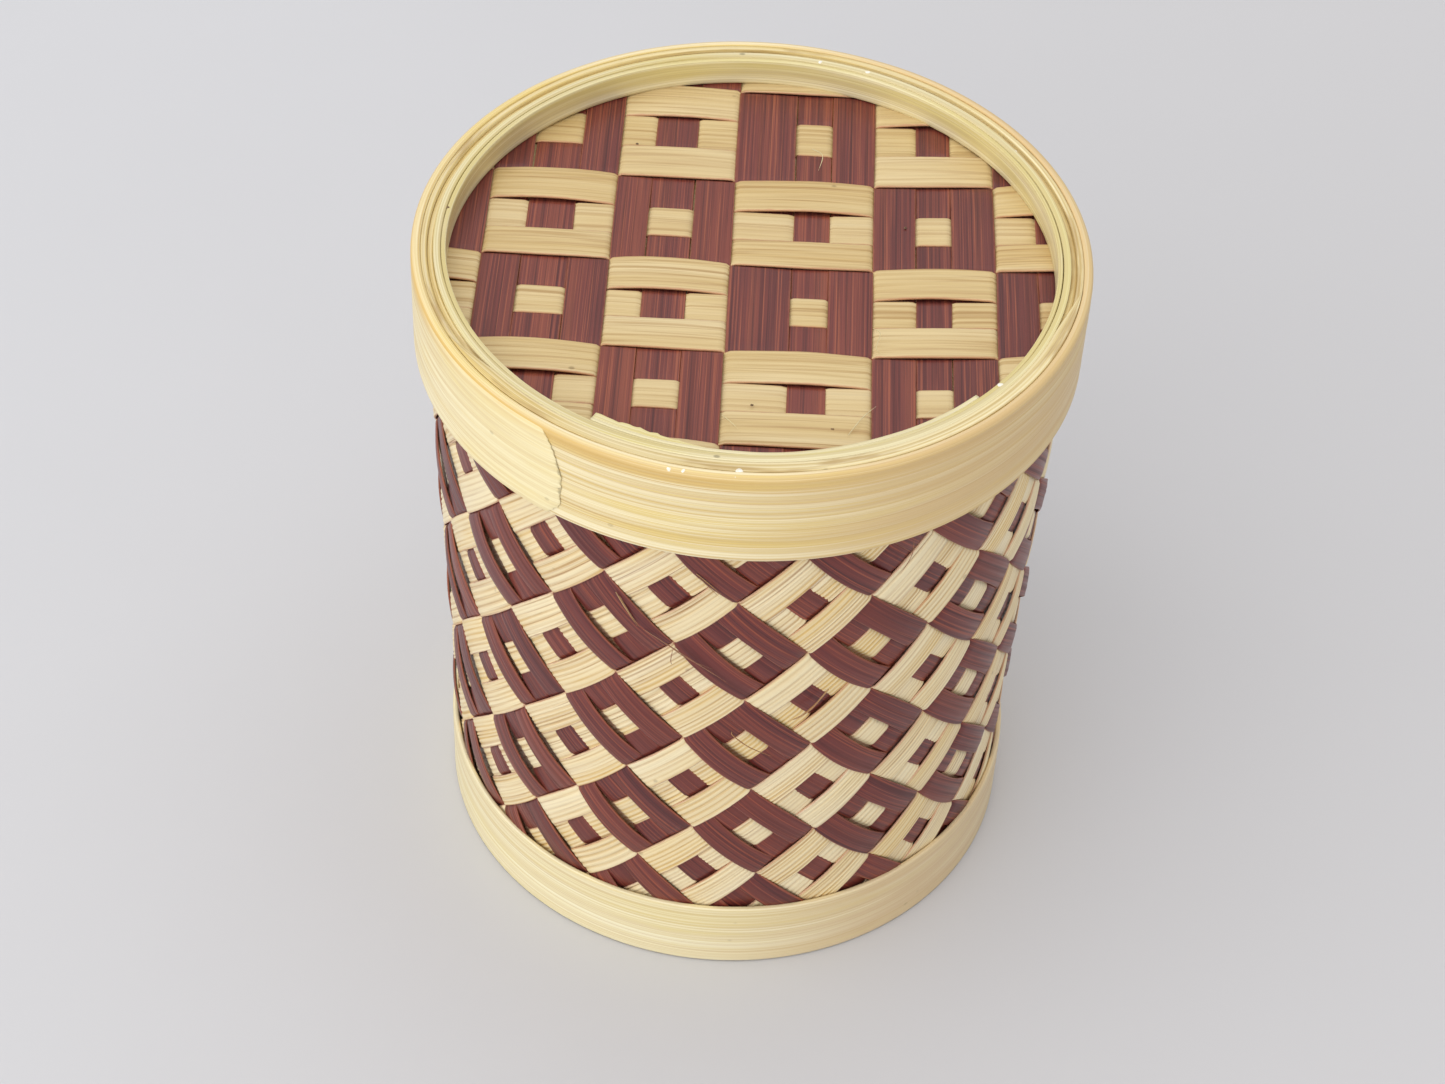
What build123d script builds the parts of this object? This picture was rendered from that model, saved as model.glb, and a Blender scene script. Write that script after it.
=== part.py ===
from build123d import *
import os
from math import atan2, cos, degrees, floor, hypot, pi, radians, sin, sqrt

# Round tea caddy of woven bamboo: a tapered body in slanting dark and light strips over a bamboo
# liner, bent bamboo hoops at foot, neck and rim, and a lift-off lid with a sunk woven panel.
# Millimetres, +Z up, the table under the foot band is z = 0 and the axis is x = y = 0.
# The front of the caddy faces -Y.

# Whole object
LID_R = 55.0  # outside of the lid's band
TOP_Z = 123.0  # top of the lid's rim
SKIRT_Z = 105.2  # lower edge of the lid's band, level with the top of the visible weave
SEAT_Z = 114.0  # top of the neck, where the lid rests

# Woven strips
STRIP_T = 0.36  # thickness of a strip
LIFT = 0.42  # how far a strip's middle rises or dips from the woven layer's middle
RAMP = 0.75  # half the length over which a body strip passes from over to under
FLAT_RAMP = 0.5  # the same where the weave lies flat
GAP = 0.64  # between neighbouring strips
LAYER = LIFT + STRIP_T / 2  # half the thickness of the woven layer
FIT = 0.12  # air between a woven layer and the wall or disc behind it

# Body
BODY_R0 = 48.4  # middle of the woven layer at the table
BODY_R1 = 51.4  # and at the shoulder and above
SHOULDER_Z = 90.0
WEAVE_Z0 = 3.0
WEAVE_Z1 = 112.0
LINER_T = 0.9
DARK_COUNT = 48  # strips falling to the right
LIGHT_COUNT = 42  # strips climbing to the right
KEY_ANGLE = radians(-101.27)  # the middle of one light block near the front
KEY_Z = 93.42
KEY_I = 4  # the dark strip and the light strip that cross there
KEY_J = 1
ROW_DROP = 23.18  # from one row of blocks to the next below
ROW_SHIFT = radians(2.283)  # and how far that row is turned
CROSS_TURN = (2 * pi - 14 * ROW_SHIFT) / 90  # one step along a light strip
CROSS_RISE = 14 * ROW_DROP / 90
FALL_TURN = CROSS_TURN + ROW_SHIFT / 3  # one step along a dark strip
FALL_RISE = CROSS_RISE - ROW_DROP / 3

# Foot
FOOT_R0 = 49.8
FOOT_R1 = 51.0
FOOT_H = 14.7
BOTTOM_R = 46.6
BOTTOM_Z = 5.4  # middle of the woven bottom
BOTTOM_PITCH = 7.0

# Lid panel: where each strip ends and the next begins
PANEL_R = 50.8
PANEL_Z = 116.9
DARK_X0 = -50.4
DARK_WIDTHS = (6.5, 6.4, 7.8, 6.6, 5.7, 7.2, 6.7, 10.0, 6.0, 7.2, 7.0, 5.8, 7.2, 6.8, 6.8)
LIGHT_Y0 = 54.1
LIGHT_WIDTHS = (7.0, 8.4, 8.3, 8.0, 8.0, 7.2, 6.6, 7.6, 6.6, 7.0, 7.4, 6.4, 7.5, 7.0)
BEND_SLOPE = 0.0875  # the light strips run askew on the right-hand side
BEND_X = 18.0
BEND_SOFT = 8.0


def ring(inner, outer, bottom, top, soften=0.35):
    hoop = Cylinder(outer, top - bottom) - Cylinder(inner, top - bottom)
    hoop = fillet(hoop.edges().filter_by(GeomType.CIRCLE), soften)
    return Pos(0, 0, (bottom + top) / 2) * hoop


def lap(radius, bottom, top, end_angle, sweep, proud):
    """The outer end of a bent band: thickest at its cut, fading into the band's own curve."""
    steps = 24
    outside = []
    for n in range(steps + 1):
        angle = radians(end_angle + sweep * n / steps)
        r = radius + proud * (1 - n / steps) - 0.02 * n / steps
        outside.append((r * cos(angle), r * sin(angle)))
    first, last = radians(end_angle), radians(end_angle + sweep)
    r = radius - 0.3
    middle = radians(end_angle + sweep / 2)
    a = (r * cos(first), r * sin(first))
    b = (r * cos(middle), r * sin(middle))
    c = (r * cos(last), r * sin(last))
    outline = Wire([Edge.make_spline([Vector(*p) for p in outside]),
                    Edge.make_three_point_arc(a, b, c),
                    Edge.make_line(outside[0], a),
                    Edge.make_line(outside[-1], c)])
    piece = extrude(Face(outline), top - bottom, dir=(0, 0, 1))
    return Pos(0, 0, bottom) * piece


def strip(corners):
    """A flat strip from the four lines that its corners follow."""
    edges = [Edge.make_spline(line) for line in corners]
    faces = [Face.make_surface_from_curves(edges[k], edges[(k + 1) % 4]) for k in range(4)]
    for end in (0, -1):
        low = Edge.make_line(corners[0][end], corners[1][end])
        high = Edge.make_line(corners[3][end], corners[2][end])
        faces.append(Face.make_surface_from_curves(low, high))
    return Solid(Shell(faces))


def creased(corners):
    """A strip whose corners follow straight lines from place to place."""
    faces = []
    for k in range(4):
        one, other = corners[k], corners[(k + 1) % 4]
        for n in range(len(one) - 1):
            faces.append(Face(Wire.make_polygon([one[n], one[n + 1], other[n + 1], other[n]])))
    for end in (0, -1):
        faces.append(Face(Wire.make_polygon([line[end] for line in corners])))
    return Solid(Shell(faces))


def dark_above(i, j):
    """Blocks of three by three take turns; the crossing in a block's middle is the other way."""
    block = (i // 3 + j // 3) % 2 == 0
    middle = i % 3 == 1 and j % 3 == 1
    return block != middle


def lift(side, where, edge, ramp):
    """Height of a strip where it passes the edges between the strips it crosses.
    side(k) is 1 or -1 in crossing k, which begins at edge(k); ramp is a change's half length."""
    k = 0
    while edge(k + 1) <= where:
        k += 1
    while edge(k) > where:
        k -= 1
    if where - edge(k) < ramp:
        before, after, t = side(k - 1), side(k), (where - edge(k)) / ramp
    elif edge(k + 1) - where < ramp:
        before, after, t = side(k), side(k + 1), (where - edge(k + 1)) / ramp
    else:
        return LIFT * side(k)
    return LIFT * (before + (after - before) * (0.5 + 0.5 * sin(pi * t / 2)))


def stations(first, last, edge, ramp):
    """Places along a strip: each crossing's middle, and five across each change of level."""
    places = []
    k = floor(first) - 1
    while edge(k) < last + ramp:
        places += [edge(k) + ramp * s for s in (-1, -0.5, 0, 0.5, 1)]
        places.append((edge(k) + edge(k + 1)) / 2)
        k += 1
    inner = [p for p in places if first + ramp / 4 < p < last - ramp / 4]
    return [first] + inner + [last]


# ---------------------------------------------------------------- body weave
def weave_radius(z):
    return BODY_R0 + (BODY_R1 - BODY_R0) * min(z / SHOULDER_Z, 1)


def body_point(i, j, out):
    """A place on the body: i counts dark strips, j counts light strips."""
    angle = KEY_ANGLE + (i - KEY_I) * CROSS_TURN + (j - KEY_J) * FALL_TURN
    z = KEY_Z + (i - KEY_I) * CROSS_RISE + (j - KEY_J) * FALL_RISE
    r = weave_radius(z) + out
    return Vector(r * cos(angle), r * sin(angle), z)


def half_edge(k):
    return k - 0.5


# Lengths of one step along each kind of strip, and the space between neighbours across them
FALL_STEP = hypot(FALL_TURN * BODY_R1, FALL_RISE)
CROSS_STEP = hypot(CROSS_TURN * BODY_R1, CROSS_RISE)
LEAN = sin(atan2(-FALL_RISE, FALL_TURN * BODY_R1) + atan2(CROSS_RISE, CROSS_TURN * BODY_R1))
DARK_HALF = 0.5 - GAP / 2 / (CROSS_STEP * LEAN)
LIGHT_HALF = 0.5 - GAP / 2 / (FALL_STEP * LEAN)
SKINS = ((-1, -STRIP_T / 2), (1, -STRIP_T / 2), (1, STRIP_T / 2), (-1, STRIP_T / 2))


def block_above(i, j):
    return 1 if not dark_above(i, j) else -1


def body_dark(i):
    start = KEY_Z + (i - KEY_I) * CROSS_RISE
    top = KEY_J + (WEAVE_Z1 - start) / FALL_RISE
    foot = KEY_J + (WEAVE_Z0 - start) / FALL_RISE
    ramp = RAMP / FALL_STEP
    places = stations(top, foot, half_edge, ramp)
    corners = []
    for s, skin in SKINS:
        line = []
        for j in places:
            out = lift(lambda k: -block_above(i, k), j, half_edge, ramp)
            line.append(body_point(i + s * DARK_HALF, j, out + skin))
        corners.append(line)
    return strip(corners)


def body_light(j):
    start = KEY_Z + (j - KEY_J) * FALL_RISE
    foot = KEY_I + (WEAVE_Z0 - start) / CROSS_RISE
    top = KEY_I + (WEAVE_Z1 - start) / CROSS_RISE
    ramp = RAMP / CROSS_STEP
    places = stations(foot, top, half_edge, ramp)
    corners = []
    for s, skin in SKINS:
        line = []
        for i in places:
            out = lift(lambda k: block_above(k, j), i, half_edge, ramp)
            line.append(body_point(i, j + s * LIGHT_HALF, out + skin))
        corners.append(line)
    return strip(corners)


# ---------------------------------------------------------------- flat weaves
def bend(x):
    return BEND_SLOPE / 2 * (x - BEND_X + sqrt((x - BEND_X) ** 2 + BEND_SOFT ** 2))


def running(start, widths, sign, first):
    """edge(k) for strips of the given widths, the first of them numbered first."""
    marks = [start]
    for width in widths:
        marks.append(marks[-1] + sign * width)
    if sign < 0:
        marks = [-m for m in marks]

    def edge(k):
        k -= first
        if k < 0:
            return marks[0] + 7.0 * k
        if k >= len(marks):
            return marks[-1] + 7.0 * (k - len(marks) + 1)
        return marks[k]
    return edge


panel_x = running(DARK_X0, DARK_WIDTHS, 1, 2)
panel_y = running(LIGHT_Y0, LIGHT_WIDTHS, -1, 2)  # counted from the back, so it gives -y


def creases(first, last, edge):
    """Places along a flat strip where a change of level begins or ends."""
    places = [first]
    k = 0
    while edge(k) > first:
        k -= 1
    while edge(k) < last:
        places += [p for p in (edge(k) - FLAT_RAMP, edge(k) + FLAT_RAMP) if first < p < last]
        k += 1
    return places + [last]


def flat_strip(number, dark, own_edge, cross_edge, reach, askew):
    """One strip of a flat weave, lying along Y if dark and along X if light."""
    low, high = own_edge(number) + GAP / 2, own_edge(number + 1) - GAP / 2
    places = creases(-reach, reach, cross_edge)
    corners = []
    for s, skin in SKINS:
        own = low if s < 0 else high
        line = []
        for along in places:
            if dark:
                height = lift(lambda k: -block_above(number, k), along, cross_edge, FLAT_RAMP)
                x, y = own, -along
            else:
                height = lift(lambda k: block_above(k, number), along, cross_edge, FLAT_RAMP)
                x, y = along, -own
            line.append(Vector(x, y + askew * bend(x), height + skin))
        corners.append(line)
    return creased(corners)


def trimmed(piece, radius, level):
    disc = Cylinder(radius, 4)
    return Pos(0, 0, level) * (piece & disc)


parts = {}

# ---------------------------------------------------------------- lid
band = ring(53.6, LID_R, SKIRT_Z, TOP_Z, 0.45)
parts["lid_outer_band"] = band + lap(LID_R, SKIRT_Z + 0.5, TOP_Z - 0.5, -120.6, -52, 0.5)
parts["lid_core_hoop_outer"] = ring(52.45, 53.5, 114.0, TOP_Z - 0.3)
parts["lid_core_hoop_inner"] = ring(51.3, 52.35, 114.0, TOP_Z - 0.5)
parts["lid_inner_hoop"] = ring(49.2, 51.2, PANEL_Z + LAYER + FIT, TOP_Z, 0.5)
for n in range(len(DARK_WIDTHS)):
    piece = flat_strip(n + 2, True, panel_x, panel_y, 58.0, 1)
    parts[f"lid_panel_dark_strip_{n + 1:02d}"] = trimmed(piece, PANEL_R, PANEL_Z)
for n in range(len(LIGHT_WIDTHS)):
    piece = flat_strip(n + 2, False, panel_y, panel_x, 52.0, 1)
    parts[f"lid_panel_light_strip_{n + 1:02d}"] = trimmed(piece, PANEL_R, PANEL_Z)
LINING_TOP = PANEL_Z - LAYER - FIT
parts["lid_lining_disc"] = Pos(0, 0, LINING_TOP - 0.3) * Cylinder(51.2, 0.6)
parts["lid_support_hoop"] = ring(47.4, 51.2, SEAT_Z, LINING_TOP - 0.6)

# ---------------------------------------------------------------- body
liner_foot = BODY_R0 - LAYER - FIT
liner_top = BODY_R1 - LAYER - FIT
liner_low = liner_foot + (liner_top - liner_foot) / SHOULDER_Z
profile = Polyline((liner_low - LINER_T, 1), (liner_low, 1), (liner_top, SHOULDER_Z),
                   (liner_top, SEAT_Z - 0.1), (liner_top - LINER_T, SEAT_Z - 0.1),
                   (liner_top - LINER_T, SHOULDER_Z), close=True)
parts["body_liner"] = revolve(Plane.XZ * make_face(profile), Axis.Z)
for phase, name in enumerate("abc"):
    strips = [body_dark(i) for i in range(phase, DARK_COUNT, 3)]
    parts[f"body_dark_strips_{name}"] = Compound(strips)
    strips = [body_light(j) for j in range(phase, LIGHT_COUNT, 3)]
    parts[f"body_light_strips_{name}"] = Compound(strips)
foot_band = ring(FOOT_R0, FOOT_R1, 0, FOOT_H, 0.45)
parts["base_outer_band"] = foot_band + lap(FOOT_R1, 0.5, FOOT_H - 0.5, 62, -50, 0.5)
weave_outside = BODY_R1 + LAYER
parts["neck_outer_hoop"] = ring(weave_outside + 0.1, 53.3, 106.5, SEAT_Z - 0.5)
parts["neck_inner_hoop"] = ring(48.2, liner_top - LINER_T - 0.08, 104.0, SEAT_Z)

# ---------------------------------------------------------------- bottom
bottom_top = BOTTOM_Z + LAYER + FIT
parts["base_support_hoop"] = ring(44.4, BOTTOM_R, 0.8, BOTTOM_Z - LAYER - FIT)
parts["bottom_lining_disc"] = Pos(0, 0, bottom_top + 0.3) * Cylinder(BOTTOM_R, 0.6)
parts["base_inner_hoop"] = ring(45.0, BOTTOM_R, bottom_top + 0.6, bottom_top + 6.0)


def bottom_edge(k):
    return (k - 7.5) * BOTTOM_PITCH


rows = range(1, 14)
dark = [flat_strip(k, True, bottom_edge, bottom_edge, 56.0, 0) for k in rows]
light = [flat_strip(k, False, bottom_edge, bottom_edge, 56.0, 0) for k in rows]
dark = [trimmed(piece, BOTTOM_R, BOTTOM_Z) for piece in dark]
light = [trimmed(piece, BOTTOM_R, BOTTOM_Z) for piece in light]
parts["bottom_dark_strips"] = Compound([s for piece in dark for s in piece.solids()])
parts["bottom_light_strips"] = Compound([s for piece in light for s in piece.solids()])

os.makedirs("parts", exist_ok=True)
for name, shape in parts.items():
    export_step(shape, f"parts/{name}.step")
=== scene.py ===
import math

import bpy
import numpy as np
from mathutils import Matrix, Vector


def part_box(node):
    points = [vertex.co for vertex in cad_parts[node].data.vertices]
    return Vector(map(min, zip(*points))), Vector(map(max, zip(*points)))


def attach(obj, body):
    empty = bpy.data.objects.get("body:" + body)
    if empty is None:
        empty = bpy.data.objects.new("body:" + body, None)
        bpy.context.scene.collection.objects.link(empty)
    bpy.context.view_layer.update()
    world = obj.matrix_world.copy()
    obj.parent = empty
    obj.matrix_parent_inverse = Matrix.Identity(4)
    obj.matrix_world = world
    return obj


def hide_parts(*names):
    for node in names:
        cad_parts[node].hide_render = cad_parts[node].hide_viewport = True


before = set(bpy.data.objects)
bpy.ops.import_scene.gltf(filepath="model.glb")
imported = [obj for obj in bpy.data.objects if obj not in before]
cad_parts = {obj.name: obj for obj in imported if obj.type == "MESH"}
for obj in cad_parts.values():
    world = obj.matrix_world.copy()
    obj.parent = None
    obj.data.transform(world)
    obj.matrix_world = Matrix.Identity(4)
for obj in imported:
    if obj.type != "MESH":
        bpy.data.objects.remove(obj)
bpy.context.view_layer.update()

# All lengths in this script are millimetres until a mesh is made; the mesh is in metres.
MM = 0.001
LID, BODY = "lid", "caddy_body"
TOP_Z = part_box("lid_outer_band")[1].z / MM
SKIRT_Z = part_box("lid_outer_band")[0].z / MM
FOOT_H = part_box("base_outer_band")[1].z / MM


# ------------------------------------------------------------------ meshes
def wander(count, seed, waves=(2, 3, 5, 8, 13, 21), fall=0.8):
    """A smooth closed curve of about -1 to 1 at count places round a circle."""
    r = np.random.default_rng(seed)
    a = np.linspace(0, 2 * np.pi, count, endpoint=False)
    out = np.zeros(count)
    for n in waves:
        out += np.sin(n * a + r.uniform(0, 6.28)) / n ** fall
    return out / np.abs(out).max()


def smooth_noise(x, seed, step):
    """Smooth noise of about -1 to 1 along a line, with one knot per step."""
    r = np.random.default_rng(seed)
    knots = r.uniform(-1, 1, 4096)
    k = x / step + 1000
    i = np.floor(k).astype(int)
    t = k - i
    t = t * t * (3 - 2 * t)
    return knots[i % 4096] * (1 - t) + knots[(i + 1) % 4096] * t


class Builder:
    """Collects swept solids, each a grid of stations by section points, into one mesh."""

    def __init__(self):
        self.co, self.fibre, self.edge, self.relief, self.faces, self.count = [], [], [], [], [], 0

    def add(self, co, fibre, edge, relief, closed=False):
        n, m = co.shape[:2]
        base = self.count
        rows = np.arange(n if closed else n - 1)
        cols = np.arange(m)
        i, j = np.meshgrid(rows, cols, indexing="ij")
        i2, j2 = (i + 1) % n, (j + 1) % m
        quads = np.stack([i * m + j, i * m + j2, i2 * m + j2, i2 * m + j], -1).reshape(-1, 4)
        caps = [] if closed else [np.arange(m)[::-1], (n - 1) * m + np.arange(m)]
        if self.inside_out(co.reshape(-1, 3), quads, caps):
            quads = quads[:, ::-1]
            caps = [cap[::-1] for cap in caps]
        self.faces += (quads + base).tolist()
        self.faces += [(cap + base).tolist() for cap in caps]
        self.co.append(co.reshape(-1, 3))
        self.fibre.append(fibre.reshape(-1, 3))
        self.edge.append(np.broadcast_to(edge, (n, m)).reshape(-1))
        self.relief.append(np.broadcast_to(relief, (n, m)).reshape(-1))
        self.count += n * m

    @staticmethod
    def inside_out(co, quads, caps):
        """Whether the faces look inwards, from the sign of the volume that they hold."""
        co = co - co.mean(axis=0)
        fans = [np.stack([np.full(len(c) - 2, c[0]), c[1:-1], c[2:]], -1) for c in caps]
        faces = np.concatenate([quads[:, [0, 1, 2]], quads[:, [0, 2, 3]], *fans])
        a, b, c = co[faces[:, 0]], co[faces[:, 1]], co[faces[:, 2]]
        return np.einsum("ij,ij->", a, np.cross(b, c)) < 0

    def piece(self, name, body, material, replaces=()):
        me = bpy.data.meshes.new(name)
        me.from_pydata((np.concatenate(self.co) * MM).tolist(), [], self.faces)
        me.attributes.new("fibre", "FLOAT_VECTOR", "POINT").data.foreach_set(
            "vector", np.concatenate(self.fibre).astype(np.float32).ravel())
        for label, values in (("edge", self.edge), ("relief", self.relief)):
            me.attributes.new(label, "FLOAT", "POINT").data.foreach_set(
                "value", np.concatenate(values).astype(np.float32))
        me.polygons.foreach_set("use_smooth", np.ones(len(me.polygons), bool))
        me.materials.append(material)
        me.update()
        obj = bpy.data.objects.new(name, me)
        bpy.context.scene.collection.objects.link(obj)
        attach(obj, body)
        if replaces:
            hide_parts(*replaces)
        return obj


# ------------------------------------------------------------------ materials
def node_kit(name):
    mat = bpy.data.materials.new(name)
    mat.use_nodes = True
    nt = mat.node_tree
    nt.nodes.clear()
    out = nt.nodes.new("ShaderNodeOutputMaterial")
    shader = nt.nodes.new("ShaderNodeBsdfPrincipled")
    nt.links.new(shader.outputs[0], out.inputs[0])
    return mat, nt, shader


class Nodes:
    """Short names for the shader nodes that the bamboo materials share."""

    def __init__(self, nt):
        self.nt = nt

    def new(self, kind, **settings):
        node = self.nt.nodes.new(kind)
        for key, value in settings.items():
            setattr(node, key, value)
        return node

    def put(self, socket, value):
        if isinstance(value, bpy.types.NodeSocket):
            self.nt.links.new(value, socket)
        else:
            socket.default_value = value

    def attribute(self, name, what="Vector"):
        return self.new("ShaderNodeAttribute", attribute_name=name).outputs[what]

    def math(self, op, a, b=0.0):
        node = self.new("ShaderNodeMath", operation=op)
        self.put(node.inputs[0], a)
        self.put(node.inputs[1], b)
        return node.outputs[0]

    def span(self, value, low, high, to_low=0.0, to_high=1.0):
        node = self.new("ShaderNodeMapRange", interpolation_type="SMOOTHSTEP")
        for slot, v in zip(("Value", "From Min", "From Max", "To Min", "To Max"),
                           (value, low, high, to_low, to_high)):
            self.put(node.inputs[slot], v)
        return node.outputs[0]

    def scaled(self, vector, factors):
        node = self.new("ShaderNodeMapping")
        self.put(node.inputs["Vector"], vector)
        node.inputs["Scale"].default_value = factors
        return node.outputs[0]

    def noise(self, vector, scale=1.0, detail=2.0, rough=0.5):
        node = self.new("ShaderNodeTexNoise")
        self.put(node.inputs["Vector"], vector)
        node.inputs["Scale"].default_value = scale
        node.inputs["Detail"].default_value = detail
        node.inputs["Roughness"].default_value = rough
        return node.outputs["Fac"]

    def ramp(self, value, stops):
        node = self.new("ShaderNodeValToRGB")
        self.put(node.inputs[0], value)
        elements = node.color_ramp.elements
        while len(elements) < len(stops):
            elements.new(0.5)
        for element, (place, colour) in zip(elements, stops):
            element.position = place
            element.color = (*colour, 1)
        return node.outputs[0]

    def mix(self, factor, a, b, mode="MIX"):
        node = self.new("ShaderNodeMix", data_type="RGBA", blend_type=mode)
        self.put(node.inputs[0], factor)
        for socket, value in ((node.inputs[6], a), (node.inputs[7], b)):
            self.put(socket, (*value, 1) if isinstance(value, tuple) else value)
        return node.outputs[2]

    def sideways(self):
        """X in metres."""
        parts = self.new("ShaderNodeSeparateXYZ")
        self.put(parts.inputs[0], self.new("ShaderNodeTexCoord").outputs["Object"])
        return parts.outputs[0]

    def bump(self, height, strength, distance):
        node = self.new("ShaderNodeBump")
        self.put(node.inputs["Height"], height)
        node.inputs["Strength"].default_value = strength
        node.inputs["Distance"].default_value = distance
        return node.outputs[0]


def bamboo(name, light, mid, line, streak, across, roughness=0.42, edge_dye_and_dive_shade=None, relief=0.0,
           line_amount=0.55, along=0.02, spots=0.5, warm=None, cylinder=None, threads=None,
           behind_weave_shade=None, bands=0.0, crest=None, shades=None,
           painted_side_shade=None, stain=None, fresh=None):
    """Split bamboo: fine lines lie along the strip. The fibre attribute holds millimetres along
    the strip, millimetres across it, and a number of its own for each strip. The colours light,
    mid, line and streak make up the grain. bands and threads add to it; relief paints shade into
    the valleys between the ridges and a highlight onto their tops; warm, stain, fresh and shades
    tint it in patches; edge_dye_and_dive_shade tints the strip edges like dye and paints shade
    where a strip dives under another; painted_side_shade paints shade in patches over the +X
    side; behind_weave_shade paints near-black shade on faces in the dark behind the weave; crest
    is the height of the golden stain."""
    mat, nt, shader = node_kit(name)
    n = Nodes(nt)
    if cylinder is None:
        fibre = n.attribute("fibre")
    else:
        fibre = cylinder(n)
    broad = n.noise(n.scaled(fibre, (along * 0.6, across * 0.16, 3.1)), 1.0, 3.0, 0.55)
    fine = n.noise(n.scaled(fibre, (along, across, 5.7)), 1.0, 3.0, 0.6)
    hair = n.noise(n.scaled(fibre, (along * 2.2, across * 3.4, 9.3)), 1.0, 2.0, 0.5)
    base = n.ramp(broad, [(0.30, mid), (0.50, light), (0.72, streak)])
    lines = n.span(fine, 0.50, 0.62)
    base = n.mix(n.math("MULTIPLY", lines, line_amount), base, line)
    base = n.mix(n.math("MULTIPLY", n.span(hair, 0.35, 0.75), 0.22), base, line)
    pale = n.math("MULTIPLY", n.span(hair, 0.62, 0.42), 0.25)
    base = n.mix(pale, base, tuple(min(1.0, c * 1.16) for c in light))
    if warm is not None:
        tint = n.noise(n.scaled(fibre, (0.02, 0.22, 7.7)), 1.0, 3.0, 0.55)
        base = n.mix(n.math("MULTIPLY", n.span(tint, 0.47, 0.66), 0.62), base, warm)
    if bands:
        wide = n.noise(n.scaled(fibre, (0.004, 1.25, 1.9)), 1.0, 5.0, 0.75)
        base = n.mix(n.math("MULTIPLY", n.span(wide, 0.53, 0.59), 0.6 * bands), base,
                     tuple(min(1.0, c * 1.10) for c in streak))
        base = n.mix(n.math("MULTIPLY", n.span(wide, 0.47, 0.42), 0.6 * bands), base,
                     tuple(0.45 * a + 0.55 * b for a, b in zip(mid, line)))
        narrow = n.noise(n.scaled(fibre, (0.006, 2.6, 4.1)), 1.0, 3.0, 0.6)
        base = n.mix(n.math("MULTIPLY", n.span(narrow, 0.55, 0.61), 0.55 * bands), base,
                     tuple(min(1.0, c * 1.12) for c in streak))
        base = n.mix(n.math("MULTIPLY", n.span(narrow, 0.44, 0.39), 0.55 * bands), base, warm)
    if crest is not None:
        tall = n.new("ShaderNodeSeparateXYZ")
        n.put(tall.inputs[0], fibre)
        golden = n.noise(n.scaled(fibre, (0.012, 0.9, 5.5)), 1.0, 3.0, 0.6)
        amount = n.math("MULTIPLY", n.span(tall.outputs[1], crest - 2.6, crest - 0.5),
                        n.span(tall.outputs[1], crest + 1.3, crest + 0.4))
        amount = n.math("MULTIPLY", amount, n.span(golden, 0.38, 0.58, 0.25, 0.85))
        amount = n.math("MULTIPLY", amount, n.span(n.sideways(), 0.0, 0.05, 1.0, 0.45))
        base = n.mix(amount, base, (0.70, 0.45, 0.13))
    if stain is not None:
        blotch = n.noise(n.scaled(fibre, (0.055, 0.5, 6.6)), 1.0, 3.0, 0.6)
        base = n.mix(n.math("MULTIPLY", n.span(blotch, 0.52, 0.66), 0.65), base, stain)
    # Painted shade: a darker, warmer tint, in patches, over the object's +X side, away from the key
    # light.
    if painted_side_shade is not None:
        patch = n.noise(n.scaled(fibre, (0.02, 0.4, 2.9)), 1.0, 3.0, 0.6)
        amount = n.math("MULTIPLY", n.span(n.sideways(), -0.01, 0.035),
                        n.span(patch, 0.3, 0.7, 0.45, 0.9))
        base = n.mix(amount, base, painted_side_shade)
    if fresh is not None:
        base = n.mix(n.math("MULTIPLY", n.attribute("edge", "Fac"), 0.6), base, fresh)
    if shades is not None:
        split = n.new("ShaderNodeSeparateXYZ")
        n.put(split.inputs[0], fibre)
        chance = n.new("ShaderNodeTexWhiteNoise", noise_dimensions="1D")
        n.put(chance.inputs["W"], split.outputs[2])
        drift = n.noise(n.scaled(fibre, (0.05, 0.0, 1.0)), 1.0, 1.0, 0.5)
        pick = n.math("ADD", n.math("MULTIPLY", chance.outputs["Value"], 0.75),
                      n.math("MULTIPLY", drift, 0.5))
        base = n.mix(n.span(pick, 0.55, 0.15, 0.0, 0.5), base, shades[0])
        base = n.mix(n.span(pick, 0.60, 1.05, 0.0, 0.5), base, shades[1])
    if relief:
        # Painted shade darkens the valleys between the strip's ridges, in patches, and a painted
        # highlight lightens the ridge tops.
        groove = n.attribute("relief", "Fac")
        patchy = n.noise(n.scaled(fibre, (0.06, 0.8, 2.2)), 1.0, 2.0, 0.5)
        painted_valley_shade = n.math("MULTIPLY", n.span(groove, 0.55, 0.05), n.span(patchy, 0.3, 0.6, 0.35, 1.0))
        base = n.mix(n.math("MULTIPLY", painted_valley_shade, relief), base, line)
        painted_ridge_highlight = n.math("MULTIPLY", n.span(groove, 0.6, 1.0), 0.5 * relief)
        base = n.mix(painted_ridge_highlight, base, tuple(min(1.0, c * 1.22) for c in streak))
    if threads is not None:
        thin = n.noise(n.scaled(fibre, (along * 1.4, across * 2.2, 8.8)), 1.0, 4.0, 0.72)
        base = n.mix(n.math("MULTIPLY", n.span(thin, 0.54, 0.62), 0.70), base, threads)
        deep = n.span(thin, 0.46, 0.38)
        base = n.mix(n.math("MULTIPLY", deep, 0.55), base, line)
    # Painted shade: faces picked out by this mask lie in the dark behind the weave and are painted
    # near-black.
    if behind_weave_shade is not None:
        base = n.mix(behind_weave_shade(n), base, (0.035, 0.018, 0.012))
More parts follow.
